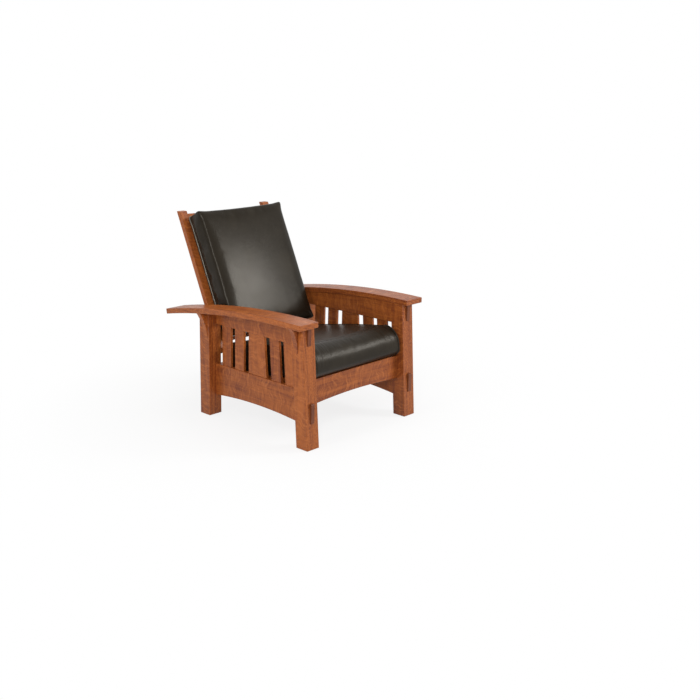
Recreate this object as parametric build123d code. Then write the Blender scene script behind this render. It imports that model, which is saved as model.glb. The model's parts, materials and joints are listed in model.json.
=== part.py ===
from build123d import *
import math
import os

os.makedirs("parts", exist_ok=True)

# A mission armchair with bowed arms and a back that reclines against two pegs.
# Lengths are millimetres and angles are degrees. While the pieces are made, the
# origin is on the floor midway between the four feet, the sitter faces -Y and
# +X is on the sitter's left. Paired pieces are made on the left and mirrored.

# Posts
width_between_posts = 606.0
post_side = 76.0
depth_over_feet = 806.0
post_lean = 2.5
post_easing = 2.0
stub_side = 44.0
stub_height = 12.0

# Feet
glide_radius = 20.0
glide_height = 3.0

# Bowed arms
arm_thickness = 27.0
arm_side_overhang = 41.0
arm_front_overhang = 29.0
arm_rear_overhang = 226.0
arm_peak_height = 586.0
arm_peak_forward = 262.0
arm_bend_radius = 4440.0
arm_easing = 3.0

# Corbels under the arms
corbel_height = 121.0
corbel_reach = 38.0
corbel_thickness = 28.0
corbel_waist_drop = 52.0
corbel_waist_reach = 13.0
corbel_foot_reach = 2.5

# Side panels
panel_inset = 45.0
rail_thickness = 24.0
rail_easing = 1.5
side_rail_bottom = 106.0
side_rail_top = 274.0
side_rail_arch = 19.0
top_rail_height = 103.0
side_slats = (1, 2, 3, 4, 5)
slat_width = 68.0
slat_thickness = 14.0
slat_recess = 4.5
slat_easing = 1.2
end_window = 44.0
pair_window = 31.5
wide_slat_window = 37.0
tongue_length = 12.0
tongue_thickness = 8.0
tongue_shoulder = 8.0

# Rails across the chair
front_rail_bottom = 196.0
front_rail_top = 318.0
front_rail_arch = 15.0
front_rail_setback = 40.0
rear_rail_bottom = 140.0
rear_rail_drop = 68.0
rear_rail_setback = 44.0
side_tenon_depth = 15.0
cross_tenon_depth = 12.0
tenon_thickness = 12.0
tenon_shoulder = 15.0
tenon_root = 10.0

# Square plugs that show as tenon ends on the front posts
plug_width = 22.0
plug_proud = 9.0
plug_depth = 26.0
plug_chamfer = 2.0
upper_plug_drop = 4.0
upper_plug_length = 82.0
lower_plug_bottom = 130.0
lower_plug_top = 226.0

# Seat deck
seat_tilt = 8.8
deck_side_gap = 2.0
deck_end_gap = 3.0
deck_rail_width = 42.0
deck_rail_height = 33.0
deck_slat_width = 62.0
deck_slat_thickness = 12.0
deck_slat_count = 7
cleat_side = 22.0
screw_head_radius = 4.5
screw_shank_radius = 2.2
screw_head_height = 2.6
cleat_screw_length = 34.0
slat_screw_length = 26.0
cleat_screw_count = 3
screw_end_distance = 60.0

# Back frame
back_lean = 23.5
back_step = 10.0
pivot_y = 331.5
pivot_height = 330.0
stile_width = 42.0
stile_thickness = 28.0
stile_length = 753.0
stile_easing = 2.0
back_side_gap = 5.0
crest_height = 66.0
crest_drop = 25.0
back_rail_thickness = 20.0
back_rail_height = 60.0
back_rail_rise = 40.0
back_slat_height = 50.0
back_slat_thickness = 12.0
back_slat_count = 4
back_bow = 18.0
back_slat_tongue = 14.0

# Pivots of the back
pivot_bolt_radius = 5.0
pivot_head_radius = 9.0
pivot_head_height = 5.5
pivot_head_bevel = 1.8
pivot_bolt_hold = 38.0
bushing_wall = 2.5
spacer_radius = 14.0

# Pegs behind the back
peg_radius = 8.0
peg_hold = 50.0
peg_knob_radius = 13.0
peg_knob_length = 20.0
peg_knob_gap = 4.0
peg_knob_bevel = 6.0
peg_neck_bevel = 2.5
peg_hole_steps = (-1, 0, 1, 2)

# Cushions
seat_pad_overhang = 33.0
seat_pad_rear_inset = 27.6
seat_pad_thickness = 158.0
seat_pad_fall = 9.0
seat_pad_crown = 12.0
seat_pad_front_round = 92.0
seat_pad_base_round = 44.0
seat_pad_rear_round = 26.0
seat_pad_side_gap = 1.5
back_pad_inset = 19.0
back_pad_bottom = 48.0
back_pad_drop = 22.0
back_pad_thickness = 134.0
back_pad_crown = 14.0
back_pad_front_round = 18.0
back_pad_rear_round = 18.0
pad_side_roll = 9.0
pad_side_draw = 5.0
pad_edge_crown_share = 0.45
pad_slice_shares = (-1.0, -0.75, -0.5, -0.25, 0.0, 0.25, 0.5, 0.75, 1.0)
pad_trim = 1.5

# Clearances
joint_clearance = 0.2
running_clearance = 0.05
face_clearance = 0.3
peg_clearance = 0.15
overrun = 40.0

# Places that follow from those sizes
inner_x = width_between_posts / 2
outer_x = inner_x + post_side
arm_outer_x = outer_x + arm_side_overhang
panel_outer_x = outer_x - panel_inset
panel_inner_x = panel_outer_x - rail_thickness
post_mid_x = inner_x + post_side / 2
slope = math.tan(math.radians(post_lean))
seat_slope = math.tan(math.radians(seat_tilt))
window_top = arm_peak_height - top_rail_height
rear_rail_top = pivot_height - rear_rail_drop
upper_plug_top = arm_peak_height - upper_plug_drop
upper_plug_bottom = upper_plug_top - upper_plug_length


def post_face(height):
    """Return how far the outer face of a post is from mid-depth at a height."""
    return depth_over_feet / 2 - height * slope


def post_inside(height):
    """Return how far the inner face of a post is from mid-depth at a height."""
    return post_face(height) - post_side


arm_front_y = -(post_face(arm_peak_height) + arm_front_overhang)
arm_rear_y = post_face(arm_peak_height) + arm_rear_overhang
arm_centre_z = arm_peak_height - arm_bend_radius
front_rail_y = -(post_face(front_rail_top) - front_rail_setback)
rear_rail_y = post_face(rear_rail_top) - rear_rail_setback
stile_outer_x = inner_x - back_side_gap
stile_inner_x = stile_outer_x - stile_width
seat_front_z = front_rail_top + face_clearance + rail_thickness * seat_slope


def arm_under(y):
    """Return the height of the underside of an arm at a depth."""
    return arm_centre_z + math.sqrt(arm_bend_radius**2 - (y + arm_peak_forward) ** 2)


def arm_point(y, lift):
    """Return the point that lies lift above the underside, square to the bend."""
    z = arm_under(y)
    out_y = (y + arm_peak_forward) / arm_bend_radius
    out_z = (z - arm_centre_z) / arm_bend_radius
    return (y + lift * out_y, z + lift * out_z)


def prism_x(edges, x_from, x_to):
    """Extrude an outline drawn in (y, z) from one x to another."""
    return extrude(Plane.YZ.offset(x_from) * make_face(edges), amount=x_to - x_from)


def polygon(points):
    """Return the edges of a closed outline through points."""
    return Polyline(*points, close=True).edges()


def block(x_span, y_span, z_span, grow=0):
    """Return a box between two x, two y and two z values, grown all round."""
    spans = [(low - grow, high + grow) for low, high in (x_span, y_span, z_span)]
    size = [high - low for low, high in spans]
    middle = [(high + low) / 2 for low, high in spans]
    return Pos(*middle) * Box(*size)


def long_edges(solid, least):
    """Return the edges of a solid that are longer than a length."""
    return [edge for edge in solid.edges() if edge.length > least]


def rod_x(radius, x_from, x_to, y, z):
    """Return a round rod along X."""
    rod = Cylinder(radius, x_to - x_from, align=(Align.CENTER, Align.CENTER, Align.MIN))
    return Pos(x_from, y, z) * Rot(0, 90, 0) * rod


def other_side(solid):
    """Return the sitter's right-hand copy of a left-hand piece."""
    return mirror(solid, about=Plane.YZ)


def over_arms():
    """Return the space above the underside of the arms, which trims what meets it."""
    front = arm_front_y
    rear = arm_rear_y
    top = arm_peak_height + overrun
    edges = [
        ThreePointArc(arm_point(front, 0), arm_point(0, 0), arm_point(rear, 0)),
        Line(arm_point(rear, 0), (rear, top)),
        Line((rear, top), (front, top)),
        Line((front, top), arm_point(front, 0)),
    ]
    return prism_x(edges, -arm_outer_x - overrun, arm_outer_x + overrun)


def post_stub(sign, grow=0):
    """Return the stub at the top of a left-hand post, which enters the arm."""
    y_mid = sign * (post_face(arm_peak_height) - post_side / 2)
    x_span = (post_mid_x - stub_side / 2, post_mid_x + stub_side / 2)
    y_span = (y_mid - stub_side / 2, y_mid + stub_side / 2)
    z_span = (arm_under(y_mid) - stub_height, arm_under(y_mid) + stub_height)
    return block(x_span, y_span, z_span, grow)


def arm():
    """Make the left arm: a board bent to one radius, with its four peg holes."""
    lower = [arm_point(y, 0) for y in (arm_front_y, 0, arm_rear_y)]
    upper = [arm_point(y, arm_thickness) for y in (arm_front_y, 0, arm_rear_y)]
    edges = [
        ThreePointArc(*lower),
        Line(lower[2], upper[2]),
        ThreePointArc(*reversed(upper)),
        Line(upper[0], lower[0]),
    ]
    board = prism_x(edges, inner_x, arm_outer_x)
    board = fillet(board.edges(), arm_easing)
    for sign in (-1, 1):
        board -= post_stub(sign, joint_clearance)
    for step in peg_hole_steps:
        y, z = peg_place(back_lean + step * back_step)
        hole_end = inner_x + peg_hold + face_clearance
        board -= rod_x(peg_radius + peg_clearance, inner_x - overrun, hole_end, y, z)
    return board


def side_tenons(bottom, top, sign, grow=0):
    """Return the tenon at one end of a left-hand side rail."""
    middle = (bottom + top) / 2
    ends = (sign * (post_inside(middle) - tenon_root), sign * (post_inside(middle) + side_tenon_depth))
    x_mid = panel_outer_x - rail_thickness / 2
    x_span = (x_mid - tenon_thickness / 2, x_mid + tenon_thickness / 2)
    return block(x_span, (min(ends), max(ends)), (bottom + tenon_shoulder, top - tenon_shoulder), grow)


def cross_tenon(y_rail, bottom, top, grow=0):
    """Return the left-hand tenon of a rail across the chair, whose middle is at y."""
    y_span = (y_rail - tenon_thickness / 2, y_rail + tenon_thickness / 2)
    z_span = (bottom + tenon_shoulder, top - tenon_shoulder)
    return block((inner_x - tenon_root, inner_x + cross_tenon_depth), y_span, z_span, grow)


top_rail_tenon = (window_top, arm_under(post_inside(window_top)))
side_rail_tenon = (side_rail_bottom, side_rail_top)
front_rail_mid = front_rail_y + rail_thickness / 2
rear_rail_mid = rear_rail_y - rail_thickness / 2


def post(sign):
    """Make a left-hand post; sign is -1 for the front and 1 for the rear."""
    outline = [
        (sign * post_face(glide_height), glide_height),
        (sign * post_face(arm_peak_height), arm_peak_height),
        (sign * post_inside(arm_peak_height), arm_peak_height),
        (sign * post_inside(glide_height), glide_height),
    ]
    body = prism_x(polygon(outline), inner_x, outer_x)
    body = fillet(long_edges(body, arm_peak_height / 2), post_easing)
    body = body - over_arms() + post_stub(sign)
    body -= side_tenons(*top_rail_tenon, sign, joint_clearance)
    body -= side_tenons(*side_rail_tenon, sign, joint_clearance)
    if sign < 0:
        body -= cross_tenon(front_rail_mid, front_rail_bottom, front_rail_top, joint_clearance)
        body -= plug(upper_plug_bottom, upper_plug_top, joint_clearance)
        body -= plug(lower_plug_bottom, lower_plug_top, joint_clearance)
    else:
        body -= cross_tenon(rear_rail_mid, rear_rail_bottom, rear_rail_top, joint_clearance)
        hole = pivot_bolt_radius + running_clearance
        hole_end = inner_x + pivot_bolt_hold + face_clearance
        body -= rod_x(hole, inner_x - overrun, hole_end, pivot_y, pivot_height)
    return body


def plug(bottom, top, grow=0):
    """Make a plug in the left front post, square to the leaning face."""
    middle = (bottom + top) / 2
    half_width = plug_width / 2
    half_height = (top - bottom) / 2
    piece = block((-half_width, half_width), (-plug_proud, plug_depth), (-half_height, half_height), grow)
    if not grow:
        piece = chamfer(piece.faces().sort_by(Axis.Y)[0].edges(), plug_chamfer)
    return Location((post_mid_x, -post_face(middle), middle), (post_lean, 0, 0)) * piece


def corbel(sign):
    """Make a left-hand corbel: a bracket with a long hollow curve under the arm."""
    y_mid = sign * (post_face(arm_peak_height) - post_side / 2)
    top = arm_under(y_mid)
    foot = top - corbel_height
    crown = (corbel_reach, top)
    waist = (corbel_waist_reach, top - corbel_waist_drop)
    toe = (corbel_foot_reach, foot)
    head = (corbel_reach, top + corbel_thickness)
    edges = [
        Line((0, foot), toe),
        ThreePointArc(toe, waist, crown),
        Line(crown, head),
        Line(head, (0, top + corbel_thickness)),
        Line((0, top + corbel_thickness), (0, foot)),
    ]
    face = Plane.XZ.offset(-corbel_thickness / 2) * make_face(edges)
    bracket = extrude(face, amount=corbel_thickness)
    bracket = Pos(0, 0, -top) * bracket
    return Location((outer_x, y_mid, top), (-sign * post_lean, 0, 0)) * bracket - over_arms()


def top_rail():
    """Make the left-hand top rail of a side, whose upper edge fits the bowed arm."""
    outline = [
        (-post_inside(window_top), window_top),
        (post_inside(window_top), window_top),
        (post_inside(arm_peak_height), arm_peak_height),
        (-post_inside(arm_peak_height), arm_peak_height),
    ]
    rail = prism_x(polygon(outline), panel_inner_x, panel_outer_x)
    low = rail.faces().sort_by(Axis.Z)[0].edges()
    rail = chamfer([edge for edge in low if edge.length > rail_thickness], rail_easing)
    rail -= over_arms()
    for sign in (-1, 1):
        rail += side_tenons(*top_rail_tenon, sign)
    for number in side_slats:
        rail -= slat_tongue(number, window_top, joint_clearance)
    return rail


def bottom_rail():
    """Make the left-hand bottom rail of a side, with its arched lower edge."""
    low = side_rail_bottom
    high = side_rail_top
    edges = [
        ThreePointArc((-post_inside(low), low), (0, low + side_rail_arch), (post_inside(low), low)),
        Line((post_inside(low), low), (post_inside(high), high)),
        Line((post_inside(high), high), (-post_inside(high), high)),
        Line((-post_inside(high), high), (-post_inside(low), low)),
    ]
    rail = prism_x(edges, panel_inner_x, panel_outer_x)
    rail = chamfer(long_edges(rail, post_inside(low)), rail_easing)
    for sign in (-1, 1):
        rail += side_tenons(low, high, sign)
    for number in side_slats:
        rail -= slat_tongue(number, side_rail_top, joint_clearance)
    return rail


def slat_edges(number, height):
    """Return the two sides of a slat at a height; the slats count from the front and the third tapers."""
    wall = post_inside(height)
    end_side = wall - end_window
    pair_side = end_side - slat_width - pair_window
    if number == 3:
        half = pair_side - slat_width - wide_slat_window
        return (-half, half)
    outer = end_side if number in (1, 5) else pair_side
    if number < 3:
        return (-outer, slat_width - outer)
    return (outer - slat_width, outer)


def slat_tongue(number, height, grow=0):
    """Return the tongue by which a slat enters the rail that ends at a height."""
    front, rear = slat_edges(number, height)
    x_mid = panel_outer_x - slat_recess - slat_thickness / 2
    x_span = (x_mid - tongue_thickness / 2, x_mid + tongue_thickness / 2)
    y_span = (front + tongue_shoulder, rear - tongue_shoulder)
    return block(x_span, y_span, (height - tongue_length, height + tongue_length), grow)


def slat(number):
    """Make one left-hand slat, counted from the front."""
    low = slat_edges(number, side_rail_top)
    high = slat_edges(number, window_top)
    outline = [(low[0], side_rail_top), (low[1], side_rail_top), (high[1], window_top), (high[0], window_top)]
    x_out = panel_outer_x - slat_recess
    board = prism_x(polygon(outline), x_out - slat_thickness, x_out)
    board = chamfer(long_edges(board, (window_top - side_rail_top) / 2), slat_easing)
    return board + slat_tongue(number, side_rail_top) + slat_tongue(number, window_top)


def cross_rail(y_front, bottom, top, arch):
    """Make a rail across the chair, with an arched or straight lower edge."""
    x_end = inner_x
    if arch:
        lower = ThreePointArc((-x_end, bottom), (0, bottom + arch), (x_end, bottom))
    else:
        lower = Line((-x_end, bottom), (x_end, bottom))
    edges = [
        lower,
        Line((x_end, bottom), (x_end, top)),
        Line((x_end, top), (-x_end, top)),
        Line((-x_end, top), (-x_end, bottom)),
    ]
    rail = extrude(Plane.XZ.offset(-y_front) * make_face(edges), amount=-rail_thickness)
    rail = chamfer(long_edges(rail, width_between_posts / 2), rail_easing)
    tenon = cross_tenon(y_front + rail_thickness / 2, bottom, top)
    return rail + tenon + other_side(tenon)


def on_seat(solid):
    """Place a solid made on a level seat, from its front edge, on the tilted one."""
    return Location((0, front_rail_y, seat_front_z), (-seat_tilt, 0, 0)) * solid


deck_top = -face_clearance
deck_rail_top = deck_top - deck_slat_thickness
deck_bottom = deck_rail_top - deck_rail_height
deck_half_width = inner_x - deck_side_gap
seat_cosine = math.cos(math.radians(seat_tilt))
deck_front = rail_thickness / seat_cosine - deck_bottom * seat_slope + deck_end_gap
deck_rear = (rear_rail_y - rail_thickness - deck_end_gap - front_rail_y) / seat_cosine
seat_pad_length = seat_pad_overhang + deck_rear - seat_pad_rear_inset


def deck_side():
    """Make the left-hand side rail of the seat deck."""
    x_span = (deck_half_width - deck_rail_width, deck_half_width)
    return on_seat(block(x_span, (deck_front, deck_rear), (deck_bottom, deck_rail_top)) - slat_screw_holes())


def deck_cross(start):
    """Make a rail between the two side rails of the seat deck."""
    half = deck_half_width - deck_rail_width
    return on_seat(block((-half, half), (start, start + deck_rail_width), (deck_bottom, deck_rail_top)))


def deck_slat_middles():
    """Return where the slats of the seat deck lie, front to rear."""
    first = deck_front + deck_slat_width / 2
    last = deck_rear - deck_slat_width / 2
    pitch = (last - first) / (deck_slat_count - 1)
    return [first + number * pitch for number in range(deck_slat_count)]


def deck_slats():
    """Make the slats that lie across the seat deck, as separate solids."""
    holes = slat_screw_holes()
    solids = []
    for middle in deck_slat_middles():
        y_span = (middle - deck_slat_width / 2, middle + deck_slat_width / 2)
        board = block((-deck_half_width, deck_half_width), y_span, (deck_rail_top, deck_top))
        solids.append(on_seat(board - holes))
    return Compound(solids)


def screw(length, grow=0):
    """Make a countersunk screw that points down from its head at the origin."""
    head = Cone(
        screw_shank_radius + grow,
        screw_head_radius + grow,
        screw_head_height,
        align=(Align.CENTER, Align.CENTER, Align.MAX),
    )
    shank_length = length + grow
    shank = Cylinder(screw_shank_radius + grow, shank_length, align=(Align.CENTER, Align.CENTER, Align.MAX))
    return head + shank


def slat_screw_places():
    """Return where the screws of the deck slats stand on the level seat."""
    x_mid = deck_half_width - deck_rail_width / 2
    return [Pos(side * x_mid, y, deck_top) for y in deck_slat_middles() for side in (-1, 1)]


def slat_screw_holes():
    """Return the holes of the deck slat screws on the level seat."""
    hole = screw(slat_screw_length, running_clearance)
    return Compound([place * hole for place in slat_screw_places()])


def slat_screws():
    """Make the screws of the deck slats, as separate solids."""
    return Compound([on_seat(place * screw(slat_screw_length)) for place in slat_screw_places()])


def cleat_screw_places(sign):
    """Return where the screws of a cleat stand; sign is -1 for the front one."""
    half = deck_half_width - screw_end_distance
    y_face = (front_rail_y + rail_thickness) if sign < 0 else (rear_rail_y - rail_thickness)
    y_head = y_face - sign * cleat_side
    z = cleat_top(sign) - cleat_side / 2 - cleat_side * seat_slope
    places = []
    for number in range(cleat_screw_count):
        x = -half + 2 * half * number / (cleat_screw_count - 1)
        places.append(Pos(x, y_head, z) * Rot(sign * 90, 0, 0))
    return places


def cleat_top(sign):
    """Return the height of the deck's underside where it meets a rail."""
    y = (front_rail_y + rail_thickness) if sign < 0 else (rear_rail_y - rail_thickness)
    drop = (y - front_rail_y) * seat_slope
    return seat_front_z - drop + deck_bottom / seat_cosine


def cleat_holes(sign):
    """Return the screw holes of one cleat and of the rail behind it."""
    hole = screw(cleat_screw_length, running_clearance)
    return Compound([place * hole for place in cleat_screw_places(sign)])


def cleat(sign):
    """Make the strip on the front or rear rail that carries the seat deck."""
    y_face = (front_rail_y + rail_thickness) if sign < 0 else (rear_rail_y - rail_thickness)
    y_free = y_face - sign * cleat_side
    top = cleat_top(sign)
    free_top = top + sign * cleat_side * seat_slope
    low = min(top, free_top) - cleat_side
    outline = [(y_face, low), (y_free, low), (y_free, free_top), (y_face, top)]
    return prism_x(polygon(outline), -deck_half_width, deck_half_width) - cleat_holes(sign)


def cleat_screws():
    """Make the screws of both cleats, as separate solids."""
    places = cleat_screw_places(-1) + cleat_screw_places(1)
    return Compound([place * screw(cleat_screw_length) for place in places])


def on_back(solid, lean=back_lean):
    """Place a solid made on an upright back, from its pivot, at its lean."""
    return Location((0, pivot_y, pivot_height), (-lean, 0, 0)) * solid


def bowed_board(bottom, top, thickness, half_length):
    """Make a board across the upright back that bows to the rear."""
    half = thickness / 2
    edges = [
        ThreePointArc((-half_length, -half), (0, back_bow - half), (half_length, -half)),
        Line((half_length, -half), (half_length, half)),
        ThreePointArc((half_length, half), (0, back_bow + half), (-half_length, half)),
        Line((-half_length, half), (-half_length, -half)),
    ]
    board = extrude(Plane.XY.offset(bottom) * make_face(edges), amount=top - bottom)
    return chamfer(long_edges(board, half_length), rail_easing)


def bowed_with_tongues(bottom, top, thickness):
    """Make a bowed board of the back with a straight tongue at each end for the stiles."""
    board = bowed_board(bottom, top, thickness, stile_inner_x)
    tongue = back_tongue(bottom, top)
    return on_back(board + tongue + other_side(tongue))


def back_tongue(bottom, top, grow=0):
    """Return the left-hand tongue of a board of the back."""
    x_span = (stile_inner_x - tongue_thickness / 2, stile_inner_x + back_slat_tongue)
    half = tongue_thickness / 2
    return block(x_span, (-half, half), (bottom + tongue_shoulder, top - tongue_shoulder), grow)


crest_top = stile_length - crest_drop
crest_bottom = crest_top - crest_height
back_rail_top = back_rail_rise + back_rail_height
back_pad_top = crest_top - back_pad_drop


def back_slat_spans():
    """Return the lower and upper edge of each slat of the back."""
    room = crest_bottom - back_rail_top
    space = (room - back_slat_count * back_slat_height) / (back_slat_count + 1)
    pitch = back_slat_height + space
    bottoms = [back_rail_top + space + number * pitch for number in range(back_slat_count)]
    return [(bottom, bottom + back_slat_height) for bottom in bottoms]


def stile():
    """Make the left-hand stile of the back, round at its pivot end and cut level at its top."""
    half = stile_thickness / 2
    front_top = stile_length - stile_thickness * math.tan(math.radians(back_lean))
    edges = [
        ThreePointArc((-half, 0), (0, -half), (half, 0)),
        Line((half, 0), (half, stile_length)),
        Line((half, stile_length), (-half, front_top)),
        Line((-half, front_top), (-half, 0)),
    ]
    upright = prism_x(edges, stile_inner_x, stile_outer_x)
    upright = fillet(long_edges(upright, stile_length / 2), stile_easing)
    upright -= rod_x(pivot_bolt_radius + bushing_wall, stile_inner_x - overrun, stile_outer_x + overrun, 0, 0)
    spans = back_slat_spans() + [(crest_bottom, crest_top), (back_rail_rise, back_rail_top)]
    for bottom, top in spans:
        upright -= back_tongue(bottom, top, joint_clearance)
    return on_back(upright)


def bushing():
    """Make the left-hand bushing that lines the stile's pivot hole."""
    outer = rod_x(pivot_bolt_radius + bushing_wall, stile_inner_x, stile_outer_x, pivot_y, pivot_height)
    bore = pivot_bolt_radius + running_clearance
    return outer - rod_x(bore, stile_inner_x - overrun, stile_outer_x + overrun, pivot_y, pivot_height)


def spacer():
    """Make the left-hand spacer between the stile and the post."""
    start = stile_outer_x + face_clearance
    bore = pivot_bolt_radius + running_clearance
    ring = rod_x(spacer_radius, start, inner_x, pivot_y, pivot_height)
    return ring - rod_x(bore, start - overrun, inner_x + overrun, pivot_y, pivot_height)


def pivot_bolt():
    """Make the left-hand bolt on which the back turns."""
    seat = stile_inner_x - face_clearance
    start = seat - pivot_head_height
    shank = rod_x(pivot_bolt_radius, start, inner_x + pivot_bolt_hold, pivot_y, pivot_height)
    head = rod_x(pivot_head_radius, start, seat, pivot_y, pivot_height)
    rim = head.faces().sort_by(Axis.X)[0].edges()
    return chamfer(rim, pivot_head_bevel) + shank


def peg_place(lean):
    """Return where the centre of a peg that holds the back at a lean lies: half-way up the arm."""
    angle = math.radians(lean)
    away = stile_thickness / 2 + face_clearance + peg_radius
    start_y = pivot_y + away * math.cos(angle) + arm_peak_forward
    start_z = pivot_height - away * math.sin(angle) - arm_centre_z
    mid_radius = arm_bend_radius + arm_thickness / 2
    toward = start_y * math.sin(angle) + start_z * math.cos(angle)
    along = math.sqrt(toward**2 + mid_radius**2 - start_y**2 - start_z**2) - toward
    y = start_y + along * math.sin(angle) - arm_peak_forward
    z = start_z + along * math.cos(angle) + arm_centre_z
    return (y, z)


def peg():
    """Make the left-hand peg: a dowel with a turned knob at its free end."""
    y, z = peg_place(back_lean)
    knob_start = stile_inner_x - peg_knob_gap
    knob_end = knob_start - peg_knob_length
    knob = rod_x(peg_knob_radius, knob_end, knob_start, y, z)
    knob = chamfer(knob.faces().sort_by(Axis.X)[0].edges(), peg_knob_bevel)
    knob = chamfer(knob.faces().sort_by(Axis.X)[-1].edges(), peg_neck_bevel)
    return knob + rod_x(peg_radius, knob_start, inner_x + peg_hold, y, z)


def glides():
    """Make the four glides under the posts, as separate solids."""
    solids = []
    for side in (-1, 1):
        for sign in (-1, 1):
            y = sign * (post_face(0) - post_side / 2)
            disc = Cylinder(glide_radius, glide_height, align=(Align.CENTER, Align.CENTER, Align.MIN))
            solids.append(Pos(side * post_mid_x, y, 0) * disc)
    return Compound(solids)


def pad_section(x, length, heights, crown, rounds, shrink):
    """Return one slice of a lying cushion, at x across it, before its base is trimmed."""
    front = shrink
    rear = length - shrink
    front_top, rear_top = (height - shrink for height in heights)
    round_front, round_rear, round_base = rounds
    crest = ((front + rear) / 2, (front_top + rear_top) / 2 + crown)
    edges = [
        Line((front + round_base, -pad_trim), (rear - round_rear, -pad_trim)),
        RadiusArc((rear - round_rear, -pad_trim), (rear, round_rear - pad_trim), -round_rear),
        Line((rear, round_rear - pad_trim), (rear, rear_top - round_rear)),
        RadiusArc((rear, rear_top - round_rear), (rear - round_rear, rear_top), -round_rear),
        ThreePointArc((rear - round_rear, rear_top), crest, (front + round_front, front_top)),
        RadiusArc((front + round_front, front_top), (front, front_top - round_front), -round_front),
        Line((front, front_top - round_front), (front, round_base - pad_trim)),
        RadiusArc((front, round_base - pad_trim), (front + round_base, -pad_trim), -round_base),
    ]
    return Plane.YZ.offset(x) * make_face(edges)


def pad(half_width, length, heights, crown, rounds):
    """Make a cushion: crowned on top, drawn in at its ends and rolled at its sides."""
    slices = []
    for share in pad_slice_shares:
        fullness = 1 - share**2
        rise = crown * (pad_edge_crown_share + (1 - pad_edge_crown_share) * fullness)
        shrink = pad_side_draw * fullness
        slices.append(pad_section(share * half_width, length, heights, rise, rounds, shrink))
    x_span = (-half_width - overrun, half_width + overrun)
    base = block(x_span, (-overrun, length + overrun), (-pad_trim - overrun, 0))
    cushion = loft(slices, ruled=True) - base
    sides = cushion.faces().sort_by(Axis.X)
    return fillet(sides[0].edges() + sides[-1].edges(), pad_side_roll)


def seat_cushion():
    """Make the seat cushion, whose full front roll overhangs the front rail."""
    rounds = (seat_pad_front_round, seat_pad_rear_round, seat_pad_base_round)
    heights = (seat_pad_thickness, seat_pad_thickness - seat_pad_fall)
    lying = pad(inner_x - seat_pad_side_gap, seat_pad_length, heights, seat_pad_crown, rounds)
    return on_seat(Pos(0, -seat_pad_overhang, 0) * lying)


def back_cushion():
    """Make the back cushion, whose flat face leans on the stiles."""
    rounds = (back_pad_front_round, back_pad_front_round, back_pad_rear_round)
    heights = (back_pad_thickness, back_pad_thickness)
    length = back_pad_top - back_pad_bottom
    standing = Rot(90, 0, 0) * pad(stile_outer_x - back_pad_inset, length, heights, back_pad_crown, rounds)
    return on_back(Pos(0, -stile_thickness / 2 - face_clearance, back_pad_bottom) * standing)


def front_rail():
    """Make the front rail, with the screw holes of its cleat."""
    return cross_rail(front_rail_y, front_rail_bottom, front_rail_top, front_rail_arch) - cleat_holes(-1)


def rear_rail():
    """Make the rear rail, with the screw holes of its cleat."""
    rail = cross_rail(rear_rail_y - rail_thickness, rear_rail_bottom, rear_rail_top, 0)
    return rail - cleat_holes(1)


def paired(pieces, name, solid):
    """Add a left-hand piece and its mirror image under names with their side."""
    pieces[name + "_left"] = solid
    pieces[name + "_right"] = other_side(solid)


def build():
    """Return every piece of the chair by name."""
    pieces = {}
    paired(pieces, "front_post", post(-1))
    paired(pieces, "rear_post", post(1))
    paired(pieces, "arm", arm())
    paired(pieces, "front_corbel", corbel(-1))
    paired(pieces, "rear_corbel", corbel(1))
    paired(pieces, "side_top_rail", top_rail())
    paired(pieces, "side_bottom_rail", bottom_rail())
    for number in side_slats:
        paired(pieces, f"side_slat_{number}", slat(number))
    paired(pieces, "upper_tenon_plug", plug(upper_plug_bottom, upper_plug_top))
    paired(pieces, "lower_tenon_plug", plug(lower_plug_bottom, lower_plug_top))
    pieces["front_rail"] = front_rail()
    pieces["rear_rail"] = rear_rail()
    pieces["front_cleat"] = cleat(-1)
    pieces["rear_cleat"] = cleat(1)
    pieces["cleat_screws"] = cleat_screws()
    paired(pieces, "deck_side_rail", deck_side())
    pieces["deck_front_rail"] = deck_cross(deck_front)
    pieces["deck_rear_rail"] = deck_cross(deck_rear - deck_rail_width)
    pieces["deck_slats"] = deck_slats()
    pieces["deck_slat_screws"] = slat_screws()
    pieces["foot_glides"] = glides()
    paired(pieces, "pivot_bolt", pivot_bolt())
    paired(pieces, "pivot_spacer", spacer())
    paired(pieces, "pivot_bushing", bushing())
    paired(pieces, "back_stile", stile())
    pieces["back_crest_rail"] = bowed_with_tongues(crest_bottom, crest_top, back_rail_thickness)
    pieces["back_bottom_rail"] = bowed_with_tongues(back_rail_rise, back_rail_top, back_rail_thickness)
    for number, (bottom, top) in enumerate(back_slat_spans(), start=1):
        pieces[f"back_slat_{number}"] = bowed_with_tongues(bottom, top, back_slat_thickness)
    paired(pieces, "back_peg", peg())
    pieces["seat_cushion"] = seat_cushion()
    pieces["back_cushion"] = back_cushion()
    return pieces


# The finished chair has its origin on the floor, midway between its ends
rest_angle = math.radians(back_lean)
crest_corner = (crest_top, back_bow + back_rail_thickness / 2)
stile_corner = (stile_length, stile_thickness / 2)
corners = [pivot_y + up * math.sin(rest_angle) + out * math.cos(rest_angle) for up, out in (crest_corner, stile_corner)]
foremost = arm_point(arm_front_y, arm_thickness)[0]
middle_y = (max(corners) + foremost) / 2

for name, piece in build().items():
    export_step(Pos(0, -middle_y, 0) * piece, f"parts/{name}.step")
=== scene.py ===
import json
import math

import bpy
from mathutils import Matrix, Vector, noise


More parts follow.
